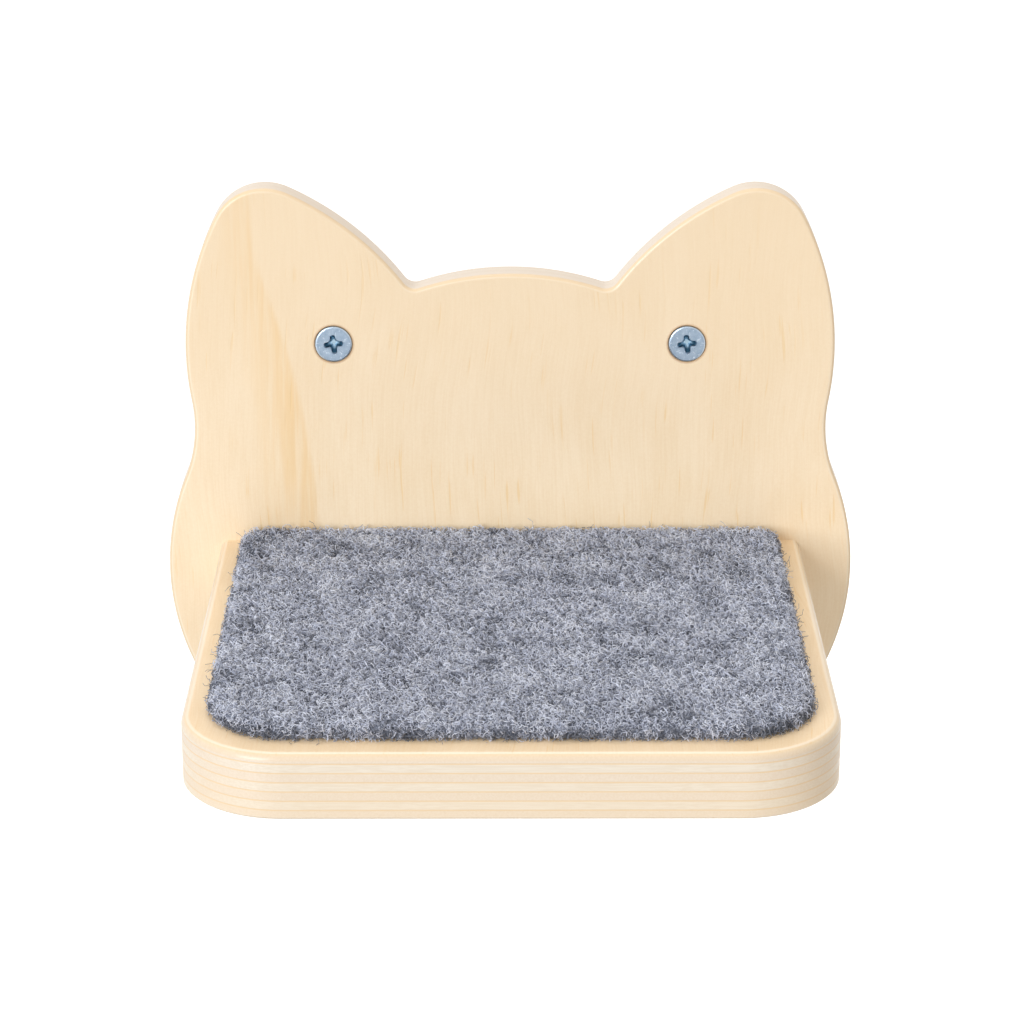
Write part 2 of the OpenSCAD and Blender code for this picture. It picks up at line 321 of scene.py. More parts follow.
def group(name, kind, takes, gives):
    """A node group with these inputs and outputs, and its two ends to build between."""
    tree = bpy.data.node_groups.new(name, kind)
    for label, (sort, start) in takes.items():
        made = tree.interface.new_socket(label, in_out="INPUT", socket_type="NodeSocket" + sort)
        if start is not None:
            made.default_value = start
    for label, sort in gives.items():
        tree.interface.new_socket(label, in_out="OUTPUT", socket_type="NodeSocket" + sort)
    return tree, add(tree, "NodeGroupInput").outputs, add(tree, "NodeGroupOutput").inputs


def give(tree, ends, **values):
    for label, value in values.items():
        tree.links.new(value, ends[label])


# Grain of a pale close wood: fine fibres along Z, sparse longer strokes, and slow clouds of tone. Place is
# in mm, Sparse is how seldom a stroke comes, and Board gives each board and ply a grain of its own.
SWAY_WAVES, SWAY_REACH, OTHER_BOARD = (0.012, 0.012, 0.016), 14.0, (17.1, 5.3, 9.7)
CLOUD_WAVES, STROKE_WAVES = (0.03, 0.03, 0.35), (0.62, 0.62, 0.85)
wood_grain, took, gave = group("wood_grain", "ShaderNodeTree", {
    "Place": ("Vector", None), "Fibre Width": ("Float", 0.5), "Fibre Length": ("Float", 14.0),
    "Sparse": ("Float", 0.655), "Board": ("Float", 0.0)},
    {"Fibres": "Float", "Strokes": "Float", "Clouds": "Float"})
tree = wood_grain
sway = noise(tree, vector_of(tree, "MULTIPLY", took["Place"], SWAY_WAVES), 1.0, 1.0)
sway = vector_from(tree, product(tree, sway, SWAY_REACH))
cell = vector_of(tree, "DIVIDE", vector_of(tree, "ADD", took["Place"], sway),
                 vector_from(tree, took["Fibre Width"], took["Fibre Width"], took["Fibre Length"]))
cell = vector_of(tree, "ADD", cell, scaled(tree, OTHER_BOARD, took["Board"]))
clouds = noise(tree, vector_of(tree, "MULTIPLY", cell, CLOUD_WAVES), 1.0, 3.0, 0.6)
strokes = noise(tree, vector_of(tree, "MULTIPLY", cell, STROKE_WAVES), 1.0, 1.0, 0.4)
give(tree, gave, Clouds=clouds, Fibres=noise(tree, cell, 1.0, 3.0, 0.6),
     Strokes=product(tree, share(tree, clouds, 0.38, 0.56),
                     share(tree, less(tree, strokes, took["Sparse"]), 0.0, 0.09)))

# Plies: each layer's grain runs across the one above it, with a thin line of glue between them. Place is
# (across the face grain, depth below the face, along the face grain) in mm, and Facing is the normal in
# the same axes. One input sets how far a rounded edge is browned, partly sanded end grain and partly
# painted shade, and the less it is, the paler the painted highlight where the rounding meets the face.
GLUE_CORE, GLUE_FADE = 0.06, 0.3
plywood, took, gave = group("plywood", "ShaderNodeTree", {
    "Place": ("Vector", None), "Facing": ("Vector", None), "Ply": ("Float", 1.8), "Plies": ("Float", 5.0),
    "Glue": ("Float", 0.8), "Painted Edge Shade": ("Float", 0.5), "Board": ("Float", 0.0)},
    {"Color": "Color", "Roughness": "Float", "Height": "Float"})
tree = plywood
at = axes_of(tree, took["Place"])
facing = axes_of(tree, vector_of(tree, "ABSOLUTE", took["Facing"]))
layer = maths(tree, "DIVIDE", at["Y"], took["Ply"])
number = maths(tree, "MINIMUM", maths(tree, "FLOOR", layer), less(tree, took["Plies"], 1.0))
crosswise = maths(tree, "MODULO", number, 2.0)
seam = maths(tree, "ROUND", layer)
inner = product(tree, maths(tree, "GREATER_THAN", seam, 0.5),
                maths(tree, "LESS_THAN", seam, less(tree, took["Plies"], 0.5)))
from_seam = product(tree, took["Ply"], maths(tree, "ABSOLUTE", less(tree, layer, seam)))
glue = product(tree, inner, took["Glue"], share(tree, from_seam, GLUE_CORE, GLUE_FADE, 1.0, 0.0))
along = add(tree, "ShaderNodeMix", {
    0: crosswise, 4: took["Place"], 5: vector_from(tree, at["Z"], at["Y"], at["X"])}, data_type="VECTOR")
# How far the surface shows end grain, is the board's edge, lies on a rounding, and takes the painted
# highlight
end_grain = share(tree, total(
    tree, product(tree, crosswise, facing["X"]),
    product(tree, less(tree, 1.0, crosswise), facing["Z"])), 0.25, 0.85)
edge = share(tree, facing["Y"], 0.55, 0.95, 1.0, 0.0)
rounding = product(tree, share(tree, facing["Y"], 0.04, 0.3),
                   share(tree, facing["Y"], 0.84, 0.95, 1.0, 0.0))
crest_highlight = product(tree, share(tree, facing["Y"], 0.84, 0.94),
                share(tree, facing["Y"], 0.985, 0.998, 1.0, 0.0))
fibres, strokes, clouds = add(tree, "ShaderNodeGroup", {
    "Place": along.outputs[1], "Board": total(tree, took["Board"], number)}, node_tree=wood_grain).outputs
streak = share(tree, fibres)
fleck = share(tree, noise(tree, took["Place"], 1.1, 2.0, 0.7))
mottle = total(tree, product(tree, streak, 0.35), product(tree, share(tree, clouds), 0.4),
               product(tree, fleck, 0.25))
face_tone = blend_of(tree, mottle, rgb(250, 229, 199), rgb(241, 215, 178))
face_tone = blend_of(tree, product(tree, strokes, 0.6), face_tone, rgb(240, 204, 148))
side_tone = blend_of(tree, streak, rgb(237, 226, 210), rgb(230, 216, 197))
end_tone = blend_of(tree, total(tree, product(tree, streak, 0.5), product(tree, fleck, 0.15)),
                    rgb(235, 220, 203), rgb(226, 206, 182))
edge_tone = blend_of(tree, end_grain, side_tone, end_tone)
edge_tone = blend_of(tree, product(tree, number, 0.05), edge_tone, rgb(243, 213, 168))
edge_tone = blend_of(tree, glue, edge_tone, rgb(234, 203, 160))
tone = blend_of(tree, edge, face_tone, edge_tone)
# Browner on the rounding, partly sanded end grain and partly painted shade; paler where the rounding meets
# the face, a painted highlight
tone = blend_of(tree, product(tree, rounding, took["Painted Edge Shade"]), tone, rgb(226, 196, 152))
tone = blend_of(tree, product(tree, crest_highlight, less(tree, 0.9, took["Painted Edge Shade"])), tone, rgb(246, 236, 222))
give(tree, gave, Color=tone,
     Roughness=less(tree, total(tree, share(tree, fibres, to_low=0.38, to_high=0.48),
                                product(tree, end_grain, 0.08)), product(tree, rounding, 0.1)),
     Height=less(tree, total(tree, fibres, product(tree, clouds, 2.0)),
                 total(tree, strokes, product(tree, glue, edge))))


def new_material(name):
    """A material, its tree, and the inputs of the surface that it ends in."""
    made = bpy.data.materials.new(name)
    made.use_nodes = True
    tree = made.node_tree
    tree.nodes.clear()
    surface = add(tree, "ShaderNodeBsdfPrincipled")
    tree.links.new(surface.outputs[0], add(tree, "ShaderNodeOutputMaterial").inputs[0])
    return made, tree, surface.inputs


def in_mm(tree, order="XYZ", way=1.0, start=0.0):
    """The place in mm with its axes in this order, the middle one made a depth by way and start."""
    at = axes_of(tree, add(tree, "ShaderNodeTexCoord").outputs["Object"])
    across, middle, along = (product(tree, at[axis], 1 / MM) for axis in order)
    return vector_from(tree, across, maths(tree, "MULTIPLY_ADD", middle, way, start), along)


def facing_in(tree, order):
    """The normal with its axes in this order."""
    at = axes_of(tree, add(tree, "ShaderNodeTexCoord").outputs["Normal"])
    return vector_from(tree, *(at[axis] for axis in order))


def bump_of(tree, height, depth):
    """The normal over a relief of this depth in mm."""
    return add(tree, "ShaderNodeBump", {"Height": height, "Distance": depth * MM, "Strength": 1.0}).outputs[0]


def lacquer(tree, surface, layers):
    """Gives the surface the plies' sheen and relief under a clear satin lacquer."""
    tree.links.new(layers["Roughness"], surface["Roughness"])
    tree.links.new(bump_of(tree, layers["Height"], 0.02), surface["Normal"])
    surface["Coat Weight"].default_value, surface["Coat Roughness"].default_value = 0.3, 0.22


def dress(piece, material):
    piece.data.materials.clear()
    piece.data.materials.append(material)


plate_wood, tree, surface = new_material("plywood_upright_grain")
place, normal = in_mm(tree, "XYZ", 1.0, PLATE_THICK), facing_in(tree, "XYZ")
layers = add(tree, "ShaderNodeGroup", {
    "Place": place, "Facing": normal, "Ply": PLATE_THICK / PLATE_PLIES, "Plies": PLATE_PLIES,
    "Glue": 0.3, "Painted Edge Shade": 0.6, "Board": 3.0}, node_tree=plywood).outputs
# The broad brown figure down the left of the front veneer: sharp to the right, and soft to the left, where
# it fades over 24 mm at its low end and 12 mm high up. FIGURE_EDGE is its sharp edge, as (height, x) in mm
# from its low end to its high end.
FIGURE_EDGE = [(-60, -55.2), (-34, -58.5), (-14, -61.8), (7, -67.3), (16.5, -70.3), (28, -73.4),
               (46, -74.6), (60, -75.5)]
FIGURE_LOW, FIGURE_HIGH, FIGURE_FROM, FIGURE_WIDE = -60, 60, -78, 26
at = axes_of(tree, place)
edge_x = add(tree, "ShaderNodeFloatCurve", {
    1: share(tree, at["Z"], FIGURE_LOW, FIGURE_HIGH, kind="LINEAR")})
curve = edge_x.mapping.curves[0].points
for height, x in FIGURE_EDGE[1:-1]:
    curve.new((height - FIGURE_LOW) / (FIGURE_HIGH - FIGURE_LOW), (x - FIGURE_FROM) / FIGURE_WIDE)
for end in (0, -1):
    curve[end].location.y = (FIGURE_EDGE[end][1] - FIGURE_FROM) / FIGURE_WIDE
edge_x.mapping.update()
beside = less(tree, maths(tree, "MULTIPLY_ADD", edge_x.outputs[0], FIGURE_WIDE, FIGURE_FROM), at["X"])
spread = maths(tree, "DIVIDE", beside, share(tree, at["Z"], FIGURE_LOW, 50, 24.0, 12.0))
threads = noise(tree, vector_of(tree, "MULTIPLY", place, (0.45, 0.45, 0.02)), 1.0, 3.0, 0.6)
figure = product(
    tree, share(tree, beside, -0.5, 1.6), share(tree, spread, 0.1, 1.0, 1.0, 0.0),
    share(tree, threads, 0.35, 0.62, 0.25, 1.0), share(tree, at["Z"], -50, 45, 0.62, 0.9),
    maths(tree, "LESS_THAN", at["Y"], PLATE_THICK / PLATE_PLIES))
# Painted light makes the wood paler low in the middle, and painted shade browns it up in the ears,
# which evens out how the lamps fall on it
from_middle = maths(tree, "ABSOLUTE", at["X"])
painted_light_low = product(tree, share(tree, at["Z"], -60, -10, 1.0, 0.0), share(tree, from_middle, 45, 80, 1.0, 0.0))
tone = blend_of(tree, painted_light_low, layers["Color"], (1.05, 1.06, 1.06, 1), "MULTIPLY")
tone = blend_of(tree, figure, tone, rgb(240, 201, 142))
tone = blend_of(tree, share(tree, at["Z"], -45, 50, 0.0, 0.65), tone, rgb(238, 213, 178))
# The cut edge is greyer and paler than the face: partly the core plies' own tone, partly a painted sheen
# of grazing light
edge_grey_and_sheen = share(tree, maths(tree, "ABSOLUTE", axes_of(tree, normal)["Y"]), 0.05, 0.3, 0.55, 0.0)
tone = blend_of(tree, edge_grey_and_sheen, tone, rgb(232, 223, 216))
# Round each countersink the wood is pressed and a little burnt by the drill; the brown ring is also a
# painted contact shadow of the screw's head
ring = hypotenuse(tree, less(tree, from_middle, WALL_SCREW_X), at["Z"])
ring = share(tree, ring, WALL_HEAD_R + 0.3, WALL_HEAD_R + 0.9, 0.5, 0.0)
tree.links.new(blend_of(tree, ring, tone, rgb(178, 128, 78)), surface["Base Color"])
lacquer(tree, surface, layers)
dress(back_plate, plate_wood)
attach(back_plate, "root")
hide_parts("back_plate")


# Two fluted beech dowels, 6 by 30 mm, are glued into blind holes in the plate and the board's back edge.
# They set the board's height and carry the cat's weight while the screws pull the joint tight.
DOWEL_LONG, DOWEL_BEVEL, DOWEL_FLUTES, FLUTE_DEPTH = 30, 0.8, 14, 0.25

beech, tree, surface = new_material("beech_dowel")
fibres, strokes = add(tree, "ShaderNodeGroup", {
    "Place": in_mm(tree, "XZY"), "Fibre Width": 0.35, "Fibre Length": 5.0, "Sparse": 0.58,
    "Board": 21.0}, node_tree=wood_grain).outputs[:2]
tone = blend_of(tree, share(tree, fibres), rgb(222, 188, 146), rgb(203, 163, 118))
tree.links.new(blend_of(tree, product(tree, strokes, 0.6), tone, rgb(160, 112, 72)), surface["Base Color"])
tree.links.new(share(tree, fibres, to_low=0.55, to_high=0.7), surface["Roughness"])
tree.links.new(bump_of(tree, less(tree, fibres, strokes), 0.03), surface["Normal"])

for side, label in ((-1, "left"), (1, "right")):
    dowel = turned("fluted_dowel_" + label, [
        (0, 0), (DOWEL_R - DOWEL_BEVEL, 0), (DOWEL_R, DOWEL_BEVEL), (DOWEL_R, DOWEL_LONG - DOWEL_BEVEL),
        (DOWEL_R - DOWEL_BEVEL, DOWEL_LONG), (0, DOWEL_LONG)],
        out_of_wall(side * DOWEL_X, -DOWEL_COVER, JOINT_Z), 8 * DOWEL_FLUTES, DOWEL_FLUTES, FLUTE_DEPTH)
    shade(dowel)
    dress(dowel, beech)
    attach(dowel, "root")
    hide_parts("dowel_" + label)


# The shelf board is 18 mm plywood of seven equal plies, with its grain from front to back. Its two front
# corners are rounded, its top edge is rounded over, and its back edge butts square on the plate.
BOARD_W, BOARD_DEEP, BOARD_THICK, BOARD_TOP = 172, 155, 18, -61
BOARD_PLIES, BOARD_CORNER, BOARD_ROUND, BOARD_ARRIS = 7, 27.5, 2.2, 0.5
JOINT_LONG, BORE_RELIEF = 40, 1


def board_outline(inset):
    """The board from above, set in by inset everywhere but at its back edge."""
    corner = (BOARD_W / 2 - BOARD_CORNER, BOARD_CORNER - BOARD_DEEP)
    half = [(0, 0), (BOARD_W / 2 - inset, 0)] + arc(corner, BOARD_CORNER, 0, -math.pi / 2, 1, inset)
    return both_halves(half + [(0, inset - BOARD_DEEP)])


board = slab("shelf_board_rounded", [
    [(x, y - PLATE_THICK, BOARD_TOP - BOARD_THICK + height) for x, y in board_outline(inset)]
    for height, inset in eased(BOARD_THICK, BOARD_ARRIS, BOARD_ROUND, 10)])
drill(board, [
    bore(JOINT_THREAD_R, JOINT_LONG + BORE_RELIEF, out_of_wall(side * JOINT_X, -JOINT_SUNK, JOINT_Z))
    for side in (-1, 0, 1)
] + [
    bore(DOWEL_R, DOWEL_LONG + BORE_RELIEF, out_of_wall(side * DOWEL_X, -DOWEL_COVER, JOINT_Z))
    for side in (-1, 1)
])
shade(board)

board_wood, tree, surface = new_material("plywood_seven_plies")
place, normal = in_mm(tree, "XZY", -1.0, BOARD_TOP), facing_in(tree, "XZY")
layers = add(tree, "ShaderNodeGroup", {
    "Place": place, "Facing": normal, "Ply": BOARD_THICK / BOARD_PLIES, "Plies": BOARD_PLIES,
    "Glue": 0.9, "Painted Edge Shade": 0.35, "Board": 11.0}, node_tree=plywood).outputs
# The upward faces are tinted warmer, a painted warm light thrown back by the wood. The upward axis is
# the middle one, so it is Y in this order
painted_warm_bounce = share(tree, axes_of(tree, normal)["Y"], 0.9, 0.99)
tree.links.new(blend_of(tree, painted_warm_bounce, layers["Color"], (1.06, 1.035, 1, 1), "MULTIPLY"),
               surface["Base Color"])
lacquer(tree, surface, layers)
dress(board, board_wood)
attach(board, "root")
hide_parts("shelf_board")


# Three 4 by 40 mm countersunk wood screws of zinc-plated steel are driven from the wall side through the
# plate into the board's back edge. Each has a rolled thread, a plain neck and a cross recess.
JOINT_NECK_R, JOINT_CORE_R, JOINT_PITCH = 1.45, 1.3, 1.8
JOINT_RECESS = (2, 0.9, 1.9)  # the reach and width of its arms, and its depth
RIM_BEVEL, POINT_SHARE, POINT_R = 0.8, 1.1, 0.25

# A rolled thread: a ridge of diamond section wound round the core, fading in at the neck and following
# the core in to the point. Sizes are in metres.
POINT_CORE, RIDGE_LEFT = 0.15, 0.02
thread, took, gave = group("screw_thread", "GeometryNodeTree", {
    "Geometry": ("Geometry", None), "Core": ("Float", 0.002), "Ridge": ("Float", 0.001),
    "Pitch": ("Float", 0.0025), "Start": ("Float", 0.01), "Turns": ("Float", 10.0),
    "Point Turns": ("Float", 2.0), "Material": ("Material", None)}, {"Geometry": "Geometry"})
tree = thread
wound = add(tree, "GeometryNodeCurveSpiral", {
    "Resolution": 28, "Rotations": took["Turns"], "Start Radius": took["Core"], "End Radius": took["Core"],
    "Height": product(tree, took["Pitch"], took["Turns"])})
turns_left = product(tree, took["Turns"], less(
    tree, 1.0, add(tree, "GeometryNodeSplineParameter").outputs["Factor"]))
drawn_in = maths(tree, "MULTIPLY_ADD", maths(tree, "DIVIDE", turns_left, took["Point Turns"], clamp=True),
                 1 - POINT_CORE, POINT_CORE)
turns_made = less(tree, took["Turns"], turns_left)
fade = product(tree, *(
    maths(tree, "ADD", turns, RIDGE_LEFT, clamp=True) for turns in (turns_made, turns_left)))
wound = add(tree, "GeometryNodeSetPosition", {
    "Geometry": wound.outputs[0], "Offset": vector_from(tree, z=took["Start"]),
    "Position": vector_of(tree, "MULTIPLY", add(tree, "GeometryNodeInputPosition").outputs[0],
                          vector_from(tree, drawn_in, drawn_in, 1.0))})
wound = add(tree, "GeometryNodeSetCurveNormal", {"Curve": wound.outputs[0]}, mode="Z_UP")
wound = add(tree, "GeometryNodeSetCurveRadius", {"Curve": wound.outputs[0], "Radius": fade})
section = add(tree, "GeometryNodeCurvePrimitiveCircle", {"Resolution": 4, "Radius": took["Ridge"]})
ridge = add(tree, "GeometryNodeCurveToMesh", {
    "Curve": wound.outputs[0], "Profile Curve": section.outputs[0], "Fill Caps": True})
joined = add(tree, "GeometryNodeJoinGeometry", {"Geometry": ridge.outputs[0]})
tree.links.new(took["Geometry"], joined.inputs[0])
whole = add(tree, "GeometryNodeRealizeInstances", {"Geometry": joined.outputs[0]})
give(tree, gave, Geometry=add(tree, "GeometryNodeSetMaterial", {
    "Geometry": whole.outputs[0], "Material": took["Material"]}).outputs[0])


def grow(piece, tree, **values):
    """Runs a tree of Geometry Nodes on the piece and keeps what it makes."""
    made = piece.modifiers.new(tree.name, "NODES")
    made.node_group = tree
    for item in tree.interface.items_tree:
        if item.in_out == "INPUT" and item.name in values:
            made[item.identifier] = values[item.name]
    settle(piece)


def cross_bit(reach, arm, depth, turn):
    """A bit for a cross recess: four arms that taper to a small floor, with flared inner corners."""
    # Each level's height, and its arms' reach, width and flare, from just off the head to the floor
    rings = []
    for height, long, wide, flare in (
            (-0.4, reach + 0.2, arm + 0.2, 1.0), (0.0, reach + 0.05, arm + 0.02, 0.9),
            (0.3, reach - 0.1, arm - 0.12, 0.55), (depth * 0.4, reach * 0.84, arm * 0.82, 0.35),
            (depth * 0.75, reach * 0.6, arm * 0.72, 0.35), (depth, reach * 0.3, arm * 0.45, 0.3)):
        ring, half, corner = [], wide / 2, wide * flare
        shoulder = long - half * 0.35
        tips = [(long, -half * 0.55), (long + 0.12 * half, 0), (long, half * 0.55), (shoulder, half)]
        bend = [on_circle((half + corner, half + corner), corner, math.pi * (1.5 - i / 8))
                for i in range(5)]
        for quarter in range(4):
            spin = turn + quarter * math.pi / 2
            for x, y in [(shoulder, -half)] + tips + bend:
                ring.append((x * math.cos(spin) - y * math.sin(spin),
                             x * math.sin(spin) + y * math.cos(spin), height))
        rings.append(ring)
    return slab("bit", rings)


# Bright zinc plate on rolled steel: radial nicks from the header's die, a little bloom and a polished rim,
# with painted shade on the rim's side and in the recess, and a painted highlight on the recess's floor.
# own_place is the place on the screw in mm, with its axis along Z from the head's top.
zinc, tree, surface = new_material("bright_zinc_plate")
own = add(tree, "ShaderNodeAttribute", attribute_name="own_place").outputs["Vector"]
at = axes_of(tree, own)
from_axis = hypotenuse(tree, at["X"], at["Y"])
spokes = noise(tree, vector_from(
    tree, *(product(tree, maths(tree, "DIVIDE", at[axis], from_axis), 8.0) for axis in "XY"),
    product(tree, from_axis, 0.8)), 1.0, 2.0, 0.6)
bloom = noise(tree, own, 0.55, 3.0, 0.6)
marks = noise(tree, own, 5.0)
nicks = product(tree, share(tree, spokes, 0.57, 0.66), share(tree, marks, 0.42, 0.58))
# Painted shade darkens the recess's walls, and a painted highlight lightens its floor
painted_recess = product(tree, share(tree, at["Z"]),
                    maths(tree, "LESS_THAN", total(tree, from_axis, at["Z"]), 4.0))
on_rim = product(tree, share(tree, at["Z"], 0.3, 0.5, 1.0, 0.0),
                 maths(tree, "GREATER_THAN", from_axis, 3.2), share(tree, at["Z"], 0.0, 0.06))
# Painted shade darkens the rim's side below the bevel
screw_rim_side_shade = product(tree, share(tree, at["Z"], 0.22, 0.42),
                    maths(tree, "GREATER_THAN", less(tree, from_axis, at["Z"]), 3.0))
tone = blend_of(tree, share(tree, bloom), rgb(170, 185, 200), rgb(150, 168, 185))
tone = blend_of(tree, product(tree, nicks, 0.85), tone, rgb(232, 238, 244))
tone = blend_of(tree, product(tree, on_rim, 0.6), tone, rgb(200, 212, 224))
tone = blend_of(tree, product(tree, screw_rim_side_shade, 0.7), tone, rgb(92, 108, 124))
# The recess's colours: painted shade on its walls and a painted highlight on its floor
recess_shade_and_highlight = blend_of(tree, share(tree, at["Z"], 1.5, 2.3), rgb(82, 120, 142), rgb(190, 214, 228))
tree.links.new(blend_of(tree, painted_recess, tone, recess_shade_and_highlight), surface["Base Color"])
tree.links.new(less(tree, total(
    tree, share(tree, bloom, to_low=0.36, to_high=0.46), product(tree, marks, 0.1)),
    product(tree, on_rim, 0.16)), surface["Roughness"])
surface["Metallic"].default_value = 1.0
tree.links.new(bump_of(tree, less(tree, product(tree, marks, 0.3), nicks), 0.04), surface["Normal"])


def wood_screw(name, node, place, turn, head_r, rim, neck_r, neck_end, core_r, thread_r, long, pitch, recess):
    """A countersunk wood screw, made standing on its head's top and then put in its place."""
    point, bevel, taper_end = POINT_SHARE * 2 * thread_r, RIM_BEVEL * rim, rim + head_r - neck_r
    # The rounded rim, the taper under the head, the plain neck, the core, and the point in two slopes
    body = turned(name, [
        (0, 0), (head_r - bevel, 0), (head_r - 0.45 * bevel, 0.16 * bevel),
        (head_r - 0.12 * bevel, 0.5 * bevel), (head_r, bevel), (head_r, rim), (neck_r + 0.5, taper_end - 0.5),
        (neck_r, taper_end + 0.4), (neck_r, neck_end), (core_r, neck_end + 1), (core_r, long - point),
        (core_r * 0.6, long - point * 0.35), (POINT_R, long - 0.1), (0, long)])
    drill(body, [cross_bit(*recess, turn)])
    grow(body, thread, **{
        "Core": core_r * MM, "Ridge": (thread_r - core_r) * MM, "Pitch": pitch * MM,
        "Start": (neck_end + 0.3) * MM, "Turns": (long - neck_end - 1.1) / pitch,
        "Point Turns": point / pitch, "Material": zinc})
    own_place = body.data.attributes.new("own_place", "FLOAT_VECTOR", "POINT")
    own_place.data.foreach_set("vector", [c / MM for v in body.data.vertices for c in v.co])
    shade(body, flat_area=math.inf)
    body.data.transform(place)
    dress(body, zinc)
    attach(body, "root")
    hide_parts(node)


for side, label, turn in ((-1, "left", -13), (0, "centre", 18), (1, "right", 49)):
    wood_screw("countersunk_joint_screw_" + label, "joint_screw_" + label,
               out_of_wall(side * JOINT_X, -JOINT_SUNK, JOINT_Z), math.radians(turn),
               JOINT_HEAD_R, JOINT_RIM, JOINT_NECK_R, PLATE_THICK, JOINT_CORE_R, JOINT_THREAD_R,
               JOINT_LONG, JOINT_PITCH, JOINT_RECESS)


# A sheet of clear double-sided adhesive, 0.3 mm thick, holds the carpet pad on the board.
# It stays 4 mm inside the pad's outline, so only a dark line under the pad's edge tells of it.
film, tree, surface = new_material("adhesive_film")
place = in_mm(tree)
cloudy = noise(tree, place, 0.12, 3.0)
tree.links.new(blend_of(tree, cloudy, rgb(232, 228, 214), rgb(214, 206, 186)), surface["Base Color"])
tree.links.new(share(tree, cloudy, to_low=0.3, to_high=0.5), surface["Roughness"])
tree.links.new(bump_of(tree, noise(tree, place, 0.5), 0.02), surface["Normal"])
dress(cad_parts["pad_adhesive"], film)


# The carpet pad is needle-punched felt, 4.5 mm thick, cut with rounded corners and stuck flat on the board.
# Its pile is a tangle of short curled fibres, pale blue-grey, with stray hairs at its edge. The base under
# them is dark, painted shade for the gaps between the fibres.
PAD_HALF_W, PAD_BACK, PAD_FRONT = 79, -10, -155.5
PAD_LOW, PAD_THICK, PAD_FRONT_R, PAD_BACK_R = -60.7, 4.5, 22, 5
PAD_ARRIS, PILE_DEEP, PILE_ROUND = 0.2, 1.3, 1.8


def pad_outline(inset):
    """The pad from above, set in by inset all round."""
    back = (PAD_HALF_W - PAD_BACK_R, PAD_BACK - PAD_BACK_R)
    front = (PAD_HALF_W - PAD_FRONT_R, PAD_FRONT + PAD_FRONT_R)
    return both_halves([(0, PAD_BACK - inset)] + arc(back, PAD_BACK_R, math.pi / 2, 0, 1, inset)
                       + arc(front, PAD_FRONT_R, 0, -math.pi / 2, 1, inset) + [(0, PAD_FRONT + inset)])


carpet = slab("carpet_pad_felt", [
    [(x, y, PAD_LOW + height) for x, y in pad_outline(inset + PILE_DEEP)]
    for height, inset in eased(PAD_THICK - PILE_DEEP, PAD_ARRIS, PILE_ROUND, 4)])
# The map that the finishes are baked to: the base's level faces fill its upper half, its sides a strip
# below them, and the fibres the lower half, by their tone and the way along them
bake_map = carpet.data.uv_layers.new(name="OFBake")
middle = (PAD_BACK + PAD_FRONT) / 2
for face in carpet.data.polygons:
    for corner in face.loop_indices:
        x, y, z = carpet.data.vertices[carpet.data.loops[corner].vertex_index].co / MM
        if abs(face.normal.z) > 0.9:
            spot = (0.5 + x / (2.1 * PAD_HALF_W), 0.77 + (y - middle) / 340)
        else:
            spot = (0.5 + math.atan2(y - middle, x) / 6.5, 0.5 + (z - PAD_LOW) / 200)
        bake_map.uv[corner].vector = spot

# A pile of curled fibres that grow out of the upper and outer faces of a pad. tone says how pale a fibre
# is and along how far a point is from its root, and both go on to its material. Sizes are in metres.
pile, took, gave = group("carpet_pile", "GeometryNodeTree", {
    "Geometry": ("Geometry", None), "Density": ("Float", 1.0e6), "Curl": ("Float", 0.0007),
    "Rise": ("Float", 0.001), "Turns": ("Float", 0.65), "Width": ("Float", 0.00013),
    "Lean": ("Float", 1.2), "Rim Only": ("Float", 0.0), "Rim Thicker": ("Float", 1.0),
    "Tone": ("Float", 0.5), "Spread": ("Float", 0.68), "Lift": ("Float", 0.001),
    "Seed": ("Int", 1), "Material": ("Material", None)}, {"Geometry": "Geometry"})
tree = pile
outward = axes_of(tree, add(tree, "GeometryNodeInputNormal").outputs[0])["Z"]
on_rim = maths(tree, "LESS_THAN", outward, 0.9)
grows = product(tree, maths(tree, "GREATER_THAN", outward, -0.5),
                maths(tree, "MAXIMUM", less(tree, 1.0, took["Rim Only"]), on_rim))
thicker = maths(tree, "MULTIPLY_ADD", on_rim, less(tree, took["Rim Thicker"], 1.0), 1.0)
roots = add(tree, "GeometryNodeDistributePointsOnFaces", {
    "Mesh": took["Geometry"], "Seed": took["Seed"],
    "Density": product(tree, took["Density"], product(tree, grows, thicker))}).outputs


def random_value(tree, low, high, salt):
    """A number that differs from fibre to fibre."""
    made = add(tree, "FunctionNodeRandomValue", {2: low, 3: high}, data_type="FLOAT")
    tree.links.new(maths(tree, "ADD", took["Seed"], float(salt)), made.inputs["Seed"])
    return made.outputs[1]


# Fibres are paler and darker by clumps, by patches and one by one. The clumps' paler tops and darker
# hollows are partly painted light and shade; painted light makes the fibres paler towards the front,
# painted shade darker towards the back and on the rim's sides. Waves are per metre.
CLUMP_WAVES, PATCH_WAVES, WAVER_WAVES = 520.0, 85.0, 900.0
root_at = add(tree, "GeometryNodeInputPosition").outputs[0]
clump = noise(tree, root_at, CLUMP_WAVES)
patch = noise(tree, root_at, PATCH_WAVES, 2.0, 0.6)
front_light_back_shade = share(tree, axes_of(tree, root_at)["Y"], -0.155, -0.01, 0.06, -0.03)
pad_side_shade = product(tree, share(tree, axes_of(tree, roots["Normal"])["Z"], 0.1, 0.7, 1.0, 0.0), 0.5)
varied = total(tree, maths(tree, "MULTIPLY_ADD", clump, 3.0, -1.5),
               maths(tree, "MULTIPLY_ADD", patch, 2.8, -1.4), random_value(tree, -0.42, 0.42, 1))
tone = maths(tree, "ADD", less(tree, total(tree, took["Tone"], front_light_back_shade), pad_side_shade),
             product(tree, took["Spread"], varied), clamp=True)
toned = add(tree, "GeometryNodeStoreNamedAttribute", {
    "Geometry": roots["Points"], "Name": "tone", "Value": tone}, data_type="FLOAT", domain="POINT")
